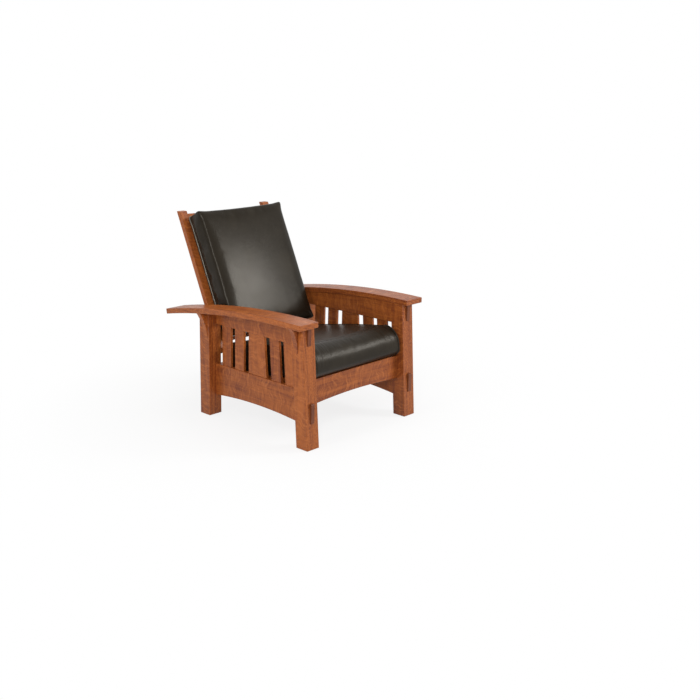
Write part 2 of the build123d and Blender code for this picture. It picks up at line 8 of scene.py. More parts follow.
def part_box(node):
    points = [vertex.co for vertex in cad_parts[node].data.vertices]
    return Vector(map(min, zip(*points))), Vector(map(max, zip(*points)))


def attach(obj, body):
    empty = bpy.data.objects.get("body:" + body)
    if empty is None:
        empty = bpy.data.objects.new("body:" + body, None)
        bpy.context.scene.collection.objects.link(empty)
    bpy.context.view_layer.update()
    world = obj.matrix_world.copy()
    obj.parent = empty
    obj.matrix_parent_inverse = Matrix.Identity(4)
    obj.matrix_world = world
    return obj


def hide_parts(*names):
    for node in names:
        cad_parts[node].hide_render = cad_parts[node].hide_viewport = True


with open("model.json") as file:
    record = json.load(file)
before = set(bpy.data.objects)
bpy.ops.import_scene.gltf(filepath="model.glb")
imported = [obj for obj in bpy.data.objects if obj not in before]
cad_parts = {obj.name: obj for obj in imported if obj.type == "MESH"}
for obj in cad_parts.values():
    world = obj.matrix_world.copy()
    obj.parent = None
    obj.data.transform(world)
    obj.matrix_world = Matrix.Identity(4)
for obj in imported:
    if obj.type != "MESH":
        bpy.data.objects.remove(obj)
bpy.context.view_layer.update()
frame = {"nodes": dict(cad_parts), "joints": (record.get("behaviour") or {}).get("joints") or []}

bl_info = {
    "name": "Mission Armchair",
    "version": (1, 0, 0),
    "blender": (4, 5, 0),
    "location": "View3D > Sidebar > Armchair",
    "description": "Dresses the frame of a reclining oak armchair with stained wood and leather cushions",
    "category": "Object",
}


# Shader building


class Wire:
    """One output of a shader node, so that its maths reads as an expression."""

    def __init__(self, nodes, socket):
        self.nodes = nodes
        self.socket = socket

    def maths(self, operation, first, second):
        return self.nodes.node("ShaderNodeMath", {"operation": operation}, {0: first, 1: second})

    def __add__(self, other):
        return self.maths("ADD", self, other)

    def __radd__(self, other):
        return self.maths("ADD", other, self)

    def __sub__(self, other):
        return self.maths("SUBTRACT", self, other)

    def __rsub__(self, other):
        return self.maths("SUBTRACT", other, self)

    def __mul__(self, other):
        return self.maths("MULTIPLY", self, other)

    def highest(self, other):
        return self.maths("MAXIMUM", self, other)


class Nodes:
    """Adds shader nodes to the tree of a material or of the world."""

    def __init__(self, tree):
        self.tree = tree

    def connect(self, socket, value):
        """Give a socket a wire or a plain value."""
        if isinstance(value, Wire):
            self.tree.links.new(value.socket, socket)
        elif socket.type == "RGBA" and len(value) == 3:
            socket.default_value = (*value, 1.0)
        else:
            socket.default_value = value

    def node(self, kind, settings=None, inputs=None, output=0):
        """Add a node with its settings and inputs, and return one of its outputs."""
        made = self.tree.nodes.new(kind)
        for key, value in (settings or {}).items():
            setattr(made, key, value)
        for key, value in (inputs or {}).items():
            self.connect(made.inputs[key], value)
        return Wire(self, made.outputs[output])

    def here(self):
        """Return the place of a point of the object, as a vector."""
        return self.node("ShaderNodeTexCoord", output="Object")

    def split(self, vector):
        """Return the three parts of a vector."""
        first = self.node("ShaderNodeSeparateXYZ", inputs={0: vector})
        outputs = first.socket.node.outputs
        return [Wire(self, outputs[number]) for number in range(3)]

    def join(self, x, y, z):
        """Return a vector made of three values."""
        return self.node("ShaderNodeCombineXYZ", inputs={0: x, 1: y, 2: z})

    def stretch(self, places, scales):
        """Return a vector of three places, each multiplied by its own scale."""
        return self.join(*(place * scale for place, scale in zip(places, scales)))

    def cloud(self, vector, scale=1.0, detail=2.0, roughness=0.5):
        """Return soft noise at a vector."""
        inputs = {"Vector": vector, "Scale": scale, "Detail": detail, "Roughness": roughness}
        return self.node("ShaderNodeTexNoise", inputs=inputs)

    def cells(self, vector, scale):
        """Return how far a vector is from the nearest middle of a cell pattern."""
        return self.node("ShaderNodeTexVoronoi", {"feature": "F1"}, {"Vector": vector, "Scale": scale})

    def step(self, value, low, high):
        """Return how far a value has risen from low to high, eased at both ends."""
        inputs = {"Value": value, "From Min": low, "From Max": high}
        return self.node("ShaderNodeMapRange", {"interpolation_type": "SMOOTHSTEP"}, inputs)

    def mix(self, factor, first, second):
        """Return one colour mixed into another."""
        return self.node("ShaderNodeMix", {"data_type": "RGBA"}, {0: factor, 6: first, 7: second}, 2)

    def bump(self, height, strength, distance):
        """Return the normal of a surface with a relief."""
        inputs = {"Strength": strength, "Distance": distance, "Height": height}
        return self.node("ShaderNodeBump", inputs=inputs)

    def white_share(self):
        """Return 1 for rays that should see plain white: from the camera, off gloss or through glass."""
        rays = self.node("ShaderNodeLightPath").socket.node.outputs
        camera, glossy, through = (
            Wire(self, rays[name]) for name in ("Is Camera Ray", "Is Glossy Ray", "Is Transmission Ray")
        )
        return camera.highest(glossy).highest(through)


class Finish(Nodes):
    """A material that is built from nodes."""

    def __init__(self, name):
        self.material = bpy.data.materials.new(name)
        self.material.use_nodes = True
        super().__init__(self.material.node_tree)
        self.shader = self.tree.nodes["Principled BSDF"]

    def surface(self, **values):
        """Set inputs of the surface shader, with spaces written as underscores."""
        for key, value in values.items():
            self.connect(self.shader.inputs[key.replace("_", " ")], value)


# Sizes and colours that a user would change


def colour(name, description, default):
    """Return a colour property."""
    return bpy.props.FloatVectorProperty(
        name=name, description=description, default=default, subtype="COLOR", size=3, min=0.0, max=1.0
    )


def length(name, description, default):
    """Return a length property in metres."""
    return bpy.props.FloatProperty(
        name=name, description=description, default=default, unit="LENGTH", precision=4
    )


def angle(name, description, degrees):
    """Return an angle property."""
    return bpy.props.FloatProperty(
        name=name, description=description, default=math.radians(degrees), subtype="ANGLE"
    )


def amount(name, description, default):
    """Return a plain factor property."""
    return bpy.props.FloatProperty(name=name, description=description, default=default, min=0.0, max=100.0)


class OakSettings(bpy.types.PropertyGroup):
    """The stained oak of the frame."""

    light: colour("Light", "Early wood under the stain", (0.41, 0.115, 0.023))
    dark: colour("Dark", "Late wood under the stain", (0.16, 0.034, 0.01))
    pore: colour("Pore", "Stain gathered in the open pores", (0.09, 0.022, 0.009))
    fleck: colour("Fleck", "Ray flecks on the quartered faces", (0.5, 0.16, 0.038))
    end: colour("End grain", "Cut ends of the tenons", (0.1, 0.03, 0.014))
    gloss: amount("Roughness", "Roughness of the satin varnish", 0.36)


class LeatherSettings(bpy.types.PropertyGroup):
    """The leather of both cushions."""

    base: colour("Base", "Dye of the leather", (0.0135, 0.0098, 0.0058))
    worn: colour("Worn", "Rubbed patches", (0.024, 0.018, 0.011))
    gloss: amount("Roughness", "Roughness of the back cushion's leather", 0.22)
    seat_gloss: amount("Seat roughness", "Roughness of the seat's leather", 0.31)
    grain: length("Grain", "Height of the pebbled grain", 0.00025)
    # Pale colour of the back's welt: a painted highlight that stands for the light caught along its piping
    painted_highlight: colour("Rubbed", "Leather of the back's welt, paler where it is rubbed", (0.2, 0.18, 0.15))


class CushionSettings(bpy.types.PropertyGroup):
    """The shapes of both cushions."""

    lean: angle("Lean", "Lean of the back from upright", 23.5)
    voxel: length("Mesh", "Distance between the points of a cushion", 0.0075)
    inset: length("Inset", "How much smaller a cushion starts than it ends", 0.0025)
    swell: length("Swell", "Most that the filling may push the leather out", 0.0065)
    pressure: amount("Pressure", "Pressure of the filling", 4.0)
    crown: length("Crown", "How far the middle of the back cushion stands proud of its sides", 0.008)
    flare: length("Flare", "How far the front edges of the back cushion are drawn out", 0.01)
    roll: length("Roll", "Width of the rolls along the long front edges of the back cushion", 0.06)
    roll_start: length("Roll start", "Distance from the corners over which the rolls grow", 0.09)
    seat_level: length("Seat level", "How far the sides of the seat are raised towards its middle", 0.01)
    ear: length("Ear", "How far the corners of the back cushion are pulled out", 0.004)
    ear_reach: length("Ear reach", "How far from a corner the leather is pulled", 0.05)
    welt: length("Welt", "Radius of the welts", 0.003)
    welt_depth: length("Welt depth", "How far a welt is sunk in the leather", 0.0012)
    seat_seam: length("Seat seam", "Distance of the side seams from the sides of the seat", 0.009)
    back_seam: length("Back seam", "Height of the seam above the rear of the back cushion", 0.024)
    crease: length("Crease", "Depth of the fine folds on the front roll", 0.0024)
    crease_reach: length("Crease reach", "How far behind the front of the seat the fine folds end", 0.19)
    tuck: length("Tuck", "Depth of the line behind the front roll", 0.0035)
    tuck_place: length("Tuck place", "Distance of the line from the front of the seat", 0.096)
    tuck_width: length("Tuck width", "Half the width of the line behind the front roll", 0.007)


class StageSettings(bpy.types.PropertyGroup):
    """The camera, lamps and floor."""

    camera_place: bpy.props.FloatVectorProperty(
        name="Camera", description="Place of the camera from the middle of the feet",
        default=(-3.263, -3.489, 1.666), subtype="TRANSLATION", size=3,
    )
    camera_down: angle("Down", "How far the camera looks down", 15.533)
    camera_turn: angle("Turn", "Turn of the camera about upright", -45.745)
    lens: amount("Lens", "Focal length in millimetres", 50.0)
    floor_tone: colour("Floor", "Colour of the floor", (0.86, 0.86, 0.86))
    floor_shade: amount("Shade", "Share of the lit floor that shows under the chair", 0.16)
    floor_reach: length("Shade reach", "Distance from the chair at which the floor is plain white", 1.6)
    fill: amount("Fill", "Strength of the light from all round", 0.25)
    key: amount("Key", "Power of the front right lamp in watts", 54.0)
    edge: amount("Edge", "Power of the front left lamp in watts", 34.0)
    side: amount("Side", "Power of the tall lamp on the left in watts", 19.0)
    top: amount("Top", "Power of the lamp above in watts", 36.0)
    rim: amount("Rim", "Power of the lamp behind in watts", 12.0)


# Oak and metal

# Each oak has a name, the axes of its grain, rays and growth, whether it leans with the back,
# and the ways in which the names of its pieces start
OAKS = (
    ("oak_side_rails", "YZX", False, ("side_top_rail", "side_bottom_rail", "deck_side_rail")),
    ("oak_arms", "YXZ", False, ("arm_",)),
    ("oak_uprights", "ZYX", False, ("front_post", "rear_post", "side_slat", "front_corbel", "rear_corbel")),
    (
        "oak_rails", "XZY", False,
        (
            "front_rail", "rear_rail", "front_cleat", "rear_cleat",
            "deck_front_rail", "deck_rear_rail", "deck_slats",
        ),
    ),
    ("oak_back_rails", "XZY", True, ("back_crest_rail", "back_bottom_rail", "back_slat")),
    ("oak_stiles", "ZXY", True, ("back_stile",)),
    ("oak_pegs", "XYZ", False, ("back_peg",)),
    ("oak_tenon_ends", "ZXY", False, ("upper_tenon_plug", "lower_tenon_plug")),
)

# How much of an oak shows as cut end grain; the oaks that aren't named here show none
END_GRAIN = {"oak_tenon_ends": 0.65}

# How far luck moves each piece's pattern along the grain, the rays and the growth, in metres
LUCK_DRIFT = (7.0, 3.0, 5.0)

# How often each pattern changes in a metre along the grain, the rays and the growth
SWAY_SCALE = (2.4, 8.0, 8.0)
LINE_SCALE = (5.0, 210.0, 210.0)
PORE_SCALE = (36.0, 900.0, 900.0)
WOBBLE_SCALE = (9.0, 13.0, 9.0)
FLECK_SCALE = (100.0, 16.0, 140.0)

# How often the growth bands change in a metre along the grain, the growth and the rays
BAND_SCALE = (1.6, 90.0, 14.0)

# How far the bands bend with the rays and sway, and how far the flecks wobble along the grain
BAND_BEND = 0.4
BAND_SWAY = 0.05
FLECK_WOBBLE = 9.0

# Where each pattern starts and ends when it is cut out of its noise, which lies round its middle
NOISE_MIDDLE = 0.5
PORE_RANGE = (0.56, 0.74)
FLECK_RANGE = (0.06, 0.2)
TONE_RANGE = (0.2, 0.72)

# Shares of the patterns in the tone, the paint, the relief and the roughness
BAND_TONE = 0.7
LINE_TONE = 0.3
FLECK_TONE = 0.5
LUCK_TONE = 0.14
FLECK_PAINT = 0.35
PORE_PAINT = 0.5
LINE_RELIEF = 0.5
PORE_RELIEF = 0.8
FLECK_RELIEF = 0.15
PORE_ROUGHNESS = 0.16
LINE_ROUGHNESS = 0.08
FLECK_ROUGHNESS = 0.05
OAK_RELIEF = 0.35
OAK_RELIEF_HEIGHT = 0.0003
VARNISH = {"Specular_IOR_Level": 0.25, "Coat_Weight": 0.06, "Coat_Roughness": 0.25}

# How often the marks of a turned and of a moulded part change in a metre along x, and the share
# of that along y and z
TURNED = 3000.0
MOULDED = 900.0
MARK_STRETCH = 0.1

# Shares of the marks in the tone, the roughness and the relief, and how far they darken the tone
MARK_TONE = 0.35
MARK_DARKNESS = 0.6
MARK_ROUGHNESS = 0.15
MARK_RELIEF = 0.15
MARK_HEIGHT = 0.0001
METAL = 1.0
PLASTIC = 0.0

# Each fitting's finish has a name, a colour, metal or plastic, a roughness, its marks and its pieces
FITTINGS = (
    (
        "turned_steel", (0.55, 0.55, 0.56), METAL, 0.3, TURNED,
        ("pivot_bolt", "pivot_spacer", "cleat_screws", "deck_slat_screws"),
    ),
    ("turned_bronze", (0.55, 0.36, 0.16), METAL, 0.32, TURNED, ("pivot_bushing",)),
    ("moulded_nylon", (0.03, 0.03, 0.03), PLASTIC, 0.5, MOULDED, ("foot_glides",)),
)


def nodes_called(starts):
    """Return the frame's objects whose names start in one of these ways."""
    return [piece for name, piece in sorted(frame["nodes"].items()) if name.startswith(starts)]


def dress(pieces, finish):
    """Give pieces of the frame a finish."""
    for piece in pieces:
        for place in piece.material_slots:
            place.material = finish.material


def oak_places(wood, luck, order, tilt):
    """Return the places along the grain, the rays and the growth, which differ from piece to piece."""
    turned = wood.node("ShaderNodeMapping", inputs={"Vector": wood.here(), "Rotation": (tilt, 0.0, 0.0)})
    axes = dict(zip("XYZ", wood.split(turned)))
    return [axes[letter] + luck * drift for letter, drift in zip(order, LUCK_DRIFT)]


def oak_bands(wood, grain, ray, growth):
    """Return the growth bands, which bend a little along the piece."""
    sway = wood.cloud(wood.stretch((grain, ray, growth), SWAY_SCALE)) - NOISE_MIDDLE
    bent = growth + ray * BAND_BEND + sway * BAND_SWAY
    return wood.cloud(wood.stretch((grain, bent, ray), BAND_SCALE), detail=4.0, roughness=0.6)


def oak_flecks(wood, grain, ray, growth):
    """Return the ray flecks of quartered faces."""
    wobble = wood.cloud(wood.stretch((grain, ray, growth), WOBBLE_SCALE)) * FLECK_WOBBLE
    along, across, deep = (place * scale for place, scale in zip((grain, ray, growth), FLECK_SCALE))
    return wood.cloud(wood.join(along + wobble, across, deep), detail=1.5) - NOISE_MIDDLE


def oak(name, settings, order, tilt, end_grain):
    """Make quartered oak whose grain, rays and growth run along the axes in order."""
    wood = Finish(name)
    luck = wood.node("ShaderNodeObjectInfo", output="Random")
    places = oak_places(wood, luck, order, tilt)
    bands = oak_bands(wood, *places)
    lines = wood.cloud(wood.stretch(places, LINE_SCALE))
    pores = wood.step(wood.cloud(wood.stretch(places, PORE_SCALE), detail=1.0), *PORE_RANGE)
    flecks = oak_flecks(wood, *places) * (1.0 - end_grain)
    bright = wood.step(flecks, *FLECK_RANGE)
    tone = bands * BAND_TONE + lines * LINE_TONE + flecks * FLECK_TONE + (luck - NOISE_MIDDLE) * LUCK_TONE
    paint = wood.mix(wood.step(tone, *TONE_RANGE), tuple(settings.dark), tuple(settings.light))
    paint = wood.mix(bright * FLECK_PAINT, paint, tuple(settings.fleck))
    paint = wood.mix(pores * PORE_PAINT, paint, tuple(settings.pore))
    paint = wood.mix(end_grain, paint, tuple(settings.end))
    rough = settings.gloss + pores * PORE_ROUGHNESS + lines * LINE_ROUGHNESS - bright * FLECK_ROUGHNESS
    relief = lines * LINE_RELIEF - pores * PORE_RELIEF + bright * FLECK_RELIEF
    normal = wood.bump(relief, OAK_RELIEF, OAK_RELIEF_HEIGHT)
    wood.surface(Base_Color=paint, Roughness=rough, Normal=normal, **VARNISH)
    return wood


def plain_finish(name, tone, metallic, rough, scale):
    """Make a small part's finish with fine turning or moulding marks."""
    finish = Finish(name)
    x, y, z = finish.split(finish.here())
    marks = finish.cloud(
        finish.join(x * scale, y * scale * MARK_STRETCH, z * scale * MARK_STRETCH), detail=3.0
    )
    dark = tuple(part * MARK_DARKNESS for part in tone)
    finish.surface(
        Base_Color=finish.mix(marks * MARK_TONE, tone, dark),
        Metallic=metallic,
        Roughness=rough + marks * MARK_ROUGHNESS,
        Normal=finish.bump(marks, MARK_RELIEF, MARK_HEIGHT),
    )
    return finish


# Leather

# How often the pebbles, the mottle and the soft folds change in a metre
PEBBLE_SCALE = 620.0
MOTTLE_SCALE = 9.0
SOFT_FOLD_SCALE = 60.0

# Shares of the patterns in the paint, the roughness and the relief
WORN_RANGE = (0.45, 0.75)
WORN_PAINT = 0.5
MOTTLE_ROUGHNESS = 0.09
PEBBLE_ROUGHNESS = 0.03
PEBBLE_RELIEF = 0.7
SOFT_FOLD_RELIEF = 0.6
LEATHER_RELIEF = 0.3

# Tint of what the leather mirrors, and how strongly each leather mirrors
LEATHER_TINT = (1.0, 0.94, 0.83)
SEAT_SHINE = 0.2
SEAT_WELT_SHINE = 0.4
BACK_SHINE = 0.18
BACK_WELT_SHINE = 0.5
BACK_WELT_GLOSS = 0.25


def leather(name, settings, dye_and_painted_highlight, gloss, shine):
    """Make smooth, finely pebbled leather."""
    hide = Finish(name)
    place = hide.here()
    pebbles = hide.cells(place, PEBBLE_SCALE)
    mottle = hide.cloud(place, MOTTLE_SCALE, detail=3.0)
    folds = hide.cloud(place, SOFT_FOLD_SCALE, detail=4.0, roughness=0.6)
    worn = hide.step(mottle, *WORN_RANGE)
    relief = pebbles * PEBBLE_RELIEF + folds * SOFT_FOLD_RELIEF
    # The base colour is the leather's dye; for the back's welt it is a pale painted highlight
    hide.surface(
        Base_Color=hide.mix(worn * WORN_PAINT, tuple(dye_and_painted_highlight), tuple(settings.worn)),
        Roughness=gloss + mottle * MOTTLE_ROUGHNESS + pebbles * PEBBLE_ROUGHNESS,
        Normal=hide.bump(relief, LEATHER_RELIEF, settings.grain),
        Specular_IOR_Level=shine,
        Specular_Tint=LEATHER_TINT,
    )
    return hide


# Making cushions

# The leather as cloth, and the frames over which it is filled
CLOTH = {
    "quality": 4,
    "mass": 0.4,
    "tension_stiffness": 20.0,
    "compression_stiffness": 20.0,
    "bending_stiffness": 2.0,
}
CLOTH_FRAMES = 20

# Points of the solid that are nearer than this are one point, in metres
SAME_POINT = 0.0001

# Smoothing of the whole cushion, and of the rolls of the back
SMOOTHING = 0.5
SMOOTH_PASSES = 2
ROLL_PASSES = 170

# The rolls' smoothing grows quickly across their width, and up from this share of the height
ROLL_GROWTH = 3.0
ROLL_BASE = 0.45
ROLL_CLIMB = 6.0

# The seat's fine folds fade in towards its front and up from its base, and are weakest in its middle
FOLD_FADE = 10.0
FOLD_BASE = 0.04
FOLD_CLIMB = 16.0
FOLD_MIDDLE = 0.12
FOLD_SCALE = (70.0, 6.0, 6.0)
FOLD_SHARPNESS = 5.0

# Welts: the radii of their corners, the steps round a corner and the most between two points, in metres
SEAT_CORNER = 0.03
BACK_CORNER = 0.02
CORNER_STEPS = 6
WELT_SPACING = 0.008
WELT_ROUNDNESS = 2


def deselect():
    """Leave nothing selected."""
    if bpy.context.mode != "OBJECT":
        bpy.ops.object.mode_set(mode="OBJECT")
    bpy.ops.object.select_all(action="DESELECT")


def choose(piece):
    """Make a piece the only one selected."""
    deselect()
    piece.select_set(True)
    bpy.context.view_layer.objects.active = piece


def clamp(value):
    """Return a value kept between 0 and 1."""
    return max(0.0, min(1.0, value))


def span_along(node, direction):
    """Return how far a CAD node reaches along a direction."""
    reaches = [direction.dot(vertex.co) for vertex in frame["nodes"][node].data.vertices]
    return min(reaches), max(reaches)


class Bench:
    """The flat bench on which a cushion is made, and its place in the chair."""

    def __init__(self, node, along):
        self.along = along
        self.up = Vector((1.0, 0.0, 0.0)).cross(along)
        self.side = along.cross(self.up)
        self.start, self.end = span_along(node, along)
        self.base, self.top = span_along(node, self.up)
        self.left, self.right = span_along(node, self.side)
        self.width = self.right - self.left
        self.half = self.width / 2
        self.length = self.end - self.start
        self.height = self.top - self.base

    def matrix(self):
        """Return the matrix that moves a finished cushion to its place."""
        middle = (self.left + self.right) / 2
        origin = self.side * middle + self.along * self.start + self.up * self.base
        return Matrix.Translation(origin) @ Matrix((self.side, self.along, self.up)).transposed().to_4x4()


def apply_modifier(piece, kind, **settings):
    """Add a modifier with its settings and apply it."""
    choose(piece)
    modifier = piece.modifiers.new(kind.lower(), kind)
    for key, value in settings.items():
        setattr(modifier, key, value)
    bpy.ops.object.modifier_apply(modifier=modifier.name)


def displace(piece, depth_at):
    """Push the points of a cushion in or out along their normals."""
    moves = [vertex.normal * depth_at(vertex.co, vertex.normal) for vertex in piece.data.vertices]
    for vertex, move in zip(piece.data.vertices, moves):
        vertex.co += move


def blank(name, node, bench, settings):
    """Copy a cushion's solid to the bench and give it an even mesh."""
    deselect()
    piece = bpy.data.objects.new(name, frame["nodes"][node].data.copy())
    bpy.context.scene.collection.objects.link(piece)
    piece.data.transform(bench.matrix().inverted())
    choose(piece)
    bpy.ops.object.mode_set(mode="EDIT")
    bpy.ops.mesh.select_all(action="SELECT")
    bpy.ops.mesh.remove_doubles(threshold=SAME_POINT)
    bpy.ops.object.mode_set(mode="OBJECT")
    apply_modifier(piece, "REMESH", mode="VOXEL", voxel_size=settings.voxel)
    return piece


def fill(piece, settings):
    """Push the leather out by the pressure of its filling, no further than it may swell."""
    displace(piece, lambda place, normal: -settings.inset)
    start = [vertex.co.copy() for vertex in piece.data.vertices]
    cloth = piece.modifiers.new("cloth", "CLOTH")
    cloth.settings.use_pressure = True
    cloth.settings.uniform_pressure_force = settings.pressure
    cloth.settings.effector_weights.gravity = 0.0
    for name, value in CLOTH.items():
        setattr(cloth.settings, name, value)
    for number in range(1, CLOTH_FRAMES + 1):
        bpy.context.scene.frame_set(number)
    choose(piece)
    bpy.ops.object.modifier_apply(modifier=cloth.name)
    bpy.context.scene.frame_set(1)
    for vertex, before in zip(piece.data.vertices, start):
        move = vertex.co - before
        if move.length > settings.swell:
            vertex.co = before + move.normalized() * settings.swell


def inflate(piece, settings):
    fill(piece, settings)
    apply_modifier(piece, "SMOOTH", factor=SMOOTHING, iterations=SMOOTH_PASSES)
    apply_modifier(piece, "SUBSURF", levels=1, render_levels=1)
    for vertex in piece.data.vertices:
        vertex.co.z = max(vertex.co.z, 0.0)


def stretch(piece, bench):
    """Stretch a cushion to the outer sizes of its solid."""
    sizes = ((-bench.half, bench.half), (0.0, bench.length), (0.0, bench.height))
    for axis, (start, end) in enumerate(sizes):
        low = min(vertex.co[axis] for vertex in piece.data.vertices)
        high = max(vertex.co[axis] for vertex in piece.data.vertices)
        for vertex in piece.data.vertices:
            vertex.co[axis] = start + (vertex.co[axis] - low) * (end - start) / (high - low)


def raise_sides(piece, bench, settings):
    """Raise the sides of the seat cushion to the level of its middle."""
    for vertex in piece.data.vertices:
        vertex.co.z += settings.seat_level * (vertex.co.x / bench.half) ** 2 * vertex.co.z / bench.height


def seat_folds(bench, settings):
    """Return how deep the fine folds and the line behind the roll are at a point of the seat."""

    def depth_at(place, normal):
        near = clamp((settings.crease_reach - place.y) * FOLD_FADE)
        lifted = clamp((place.z - FOLD_BASE) * FOLD_CLIMB)
        ends = FOLD_MIDDLE + (1.0 - FOLD_MIDDLE) * (place.x / bench.half) ** 2
        swirl = noise.noise(Vector([part * scale for part, scale in zip(place, FOLD_SCALE)]))
        fold = 1.0 - min(1.0, abs(swirl) * FOLD_SHARPNESS)
        tuck = math.exp(-(((place.y - settings.tuck_place) / settings.tuck_width) ** 2))
        tuck *= max(0.0, normal.z)
        return -settings.crease * near * lifted * ends * fold - settings.tuck * tuck

    return depth_at


def flare_front(piece, bench, settings):
    """Draw out the front edges of the back cushion and raise its middle."""
    for vertex in piece.data.vertices:
        x, y, z = vertex.co
        flare = 2.0 * settings.flare * z / bench.height
        vertex.co.x += flare * x / bench.width
        vertex.co.y += flare * (y / bench.length - 0.5)
        vertex.co.z += settings.crown * (1.0 - (x / bench.half) ** 2) * z / bench.height


def pull_corners(piece, bench, settings):
    """Pull the four corners of a cushion outwards, as its tight seams do."""
    for vertex in piece.data.vertices:
        across = max(0.0, 1.0 - (bench.half - abs(vertex.co.x)) / settings.ear_reach)
        along = max(0.0, 1.0 - min(vertex.co.y, bench.length - vertex.co.y) / settings.ear_reach)
        pull = settings.ear * across * along
        vertex.co.x += math.copysign(pull, vertex.co.x)
        vertex.co.y += math.copysign(pull, vertex.co.y - bench.length / 2)


def round_rolls(piece, bench, settings):
    """Round the long front edges of a cushion into rolls that start thin at the corners."""
    rolls = piece.vertex_groups.new(name="rolls")
    inner = bench.half - settings.roll
    for vertex in piece.data.vertices:
        across = (abs(vertex.co.x) - inner) / settings.roll * ROLL_GROWTH
        up = (vertex.co.z / bench.height - ROLL_BASE) * ROLL_CLIMB
        from_end = min(vertex.co.y, bench.length - vertex.co.y) / settings.roll_start
        weight = math.prod(clamp(part) for part in (across, up, from_end))
        rolls.add([vertex.index], weight, "REPLACE")
    apply_modifier(piece, "SMOOTH", factor=SMOOTHING, iterations=ROLL_PASSES, vertex_group="rolls")
    piece.vertex_groups.clear()


def closely_spaced(points):
    """Return the points of a closed line with more points along its long parts."""
    dense = []
    for first, second in zip(points, points[1:] + points[:1]):
        count = max(1, int(math.dist(first, second) / WELT_SPACING))
        for part in range(count):
            share = part / count
            dense.append(tuple(a + (b - a) * share for a, b in zip(first, second)))
    return dense


def rounded_rectangle(half_u, mid_u, half_v, mid_v, radius):
    """Return points round a rectangle with rounded corners."""
    points = []
    for number, (sign_u, sign_v) in enumerate(((1, 1), (-1, 1), (-1, -1), (1, -1))):
        centre_u = mid_u + sign_u * (half_u - radius)
        centre_v = mid_v + sign_v * (half_v - radius)
        for part in range(CORNER_STEPS + 1):
            turn = math.pi / 2 * (number + part / CORNER_STEPS)
            points.append((centre_u + radius * math.cos(turn), centre_v + radius * math.sin(turn)))
    return closely_spaced(points)


def welt(name, cushion, outline, settings):
    """Lay a welt along a closed outline on a cushion."""
    points = []
    for corner in outline:
        found, place, normal, _face = cushion.closest_point_on_mesh(corner)
        if not found:
            raise RuntimeError("A welt misses its cushion")
        points.append(place + normal * (settings.welt - settings.welt_depth))
    curve = bpy.data.curves.new(name, "CURVE")
    curve.dimensions = "3D"
    curve.bevel_depth = settings.welt
    curve.bevel_resolution = WELT_ROUNDNESS
    spline = curve.splines.new("POLY")
    spline.points.add(len(points) - 1)
    for point, place in zip(spline.points, points):
        point.co = (*place, 1.0)
    spline.use_cyclic_u = True
    piece = bpy.data.objects.new(name, curve)
    bpy.context.scene.collection.objects.link(piece)
    choose(piece)
    bpy.ops.object.convert(target="MESH")
    return bpy.context.active_object


def finish_piece(piece, matrix, finish, body):
    """Move a finished piece to its place, dress it and let it ride on its body."""
    piece.data.transform(matrix)
    piece.data.materials.clear()
    piece.data.materials.append(finish.material)
    choose(piece)
    bpy.ops.object.shade_smooth()
    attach(piece, body)


# The stage

# Point of the chair that every lamp faces
AIM = (0.0, 0.0, 0.55)

# Each lamp has a name, the setting of its power, a place, a width, a height, and whether
# glossy surfaces mirror it
LAMPS = (
    ("front_right_lamp", "key", (1.8, -2.3, 1.95), 0.8, 1.1, True),
    ("front_left_lamp", "edge", (-2.1, -2.2, 2.05), 0.5, 1.2, True),
    ("left_lamp", "side", (-3.0, -0.35, 1.3), 0.24, 1.5, False),
    ("top_lamp", "top", (0.0, 0.2, 3.6), 2.0, 2.0, False),
    ("rim_lamp", "rim", (-2.2, 2.4, 2.2), 1.4, 1.4, False),
)

# The floor, and the distance from its middle at which its shade starts to fade, in metres
FLOOR_SIZE = 40.0
FLOOR_ROUGHNESS = 0.9
SHADE_START = 0.3

# Width of the camera's sensor in millimetres
SENSOR_WIDTH = 36.0
WHITE = (1.0, 1.0, 1.0)


def lay_floor(settings):
    """Lay a floor that is plain white but for the shade under the chair."""
    deselect()
    bpy.ops.mesh.primitive_plane_add(size=FLOOR_SIZE)
    floor = bpy.context.active_object
    floor.name = "studio_floor"
    ground = Finish("studio_floor")
    ground.surface(
        Base_Color=tuple(settings.floor_tone), Roughness=FLOOR_ROUGHNESS, Specular_IOR_Level=0.0
    )
    white = ground.node("ShaderNodeEmission", inputs={"Color": WHITE})
    lit = Wire(ground, ground.shader.outputs[0])
    distance = ground.node("ShaderNodeVectorMath", {"operation": "LENGTH"}, {0: ground.here()}, 1)
    shade = (1.0 - ground.step(distance, SHADE_START, settings.floor_reach)) * settings.floor_shade
    factor = ground.white_share() * (1.0 - shade)
    shown = ground.node("ShaderNodeMixShader", inputs={0: factor, 1: lit, 2: white})
    ground.connect(ground.tree.nodes["Material Output"].inputs["Surface"], shown)
    floor.data.materials.append(ground.material)


def light_all_round(scene, settings):
    """Fill the room with soft light that is white where it is seen."""
    world = bpy.data.worlds.new("studio")
    world.use_nodes = True
    scene.world = world
    sky = Nodes(world.node_tree)
    background = sky.tree.nodes["Background"]
    sky.connect(background.inputs["Color"], WHITE)
    sky.connect(background.inputs["Strength"], sky.white_share() * (1.0 - settings.fill) + settings.fill)


def hang_lamp(name, place, width, height, power, mirrored):
    """Hang a soft lamp that faces the chair, mirrored by glossy surfaces or only lighting them."""
    light = bpy.data.lights.new(name, "AREA")
    light.shape = "RECTANGLE"
    light.size = width
    light.size_y = height
    light.energy = power
    holder = bpy.data.objects.new(name, light)
    bpy.context.scene.collection.objects.link(holder)
    holder.location = place
    holder.visible_camera = False
    holder.visible_glossy = mirrored
    holder.rotation_euler = (Vector(AIM) - Vector(place)).to_track_quat("-Z", "Y").to_euler()


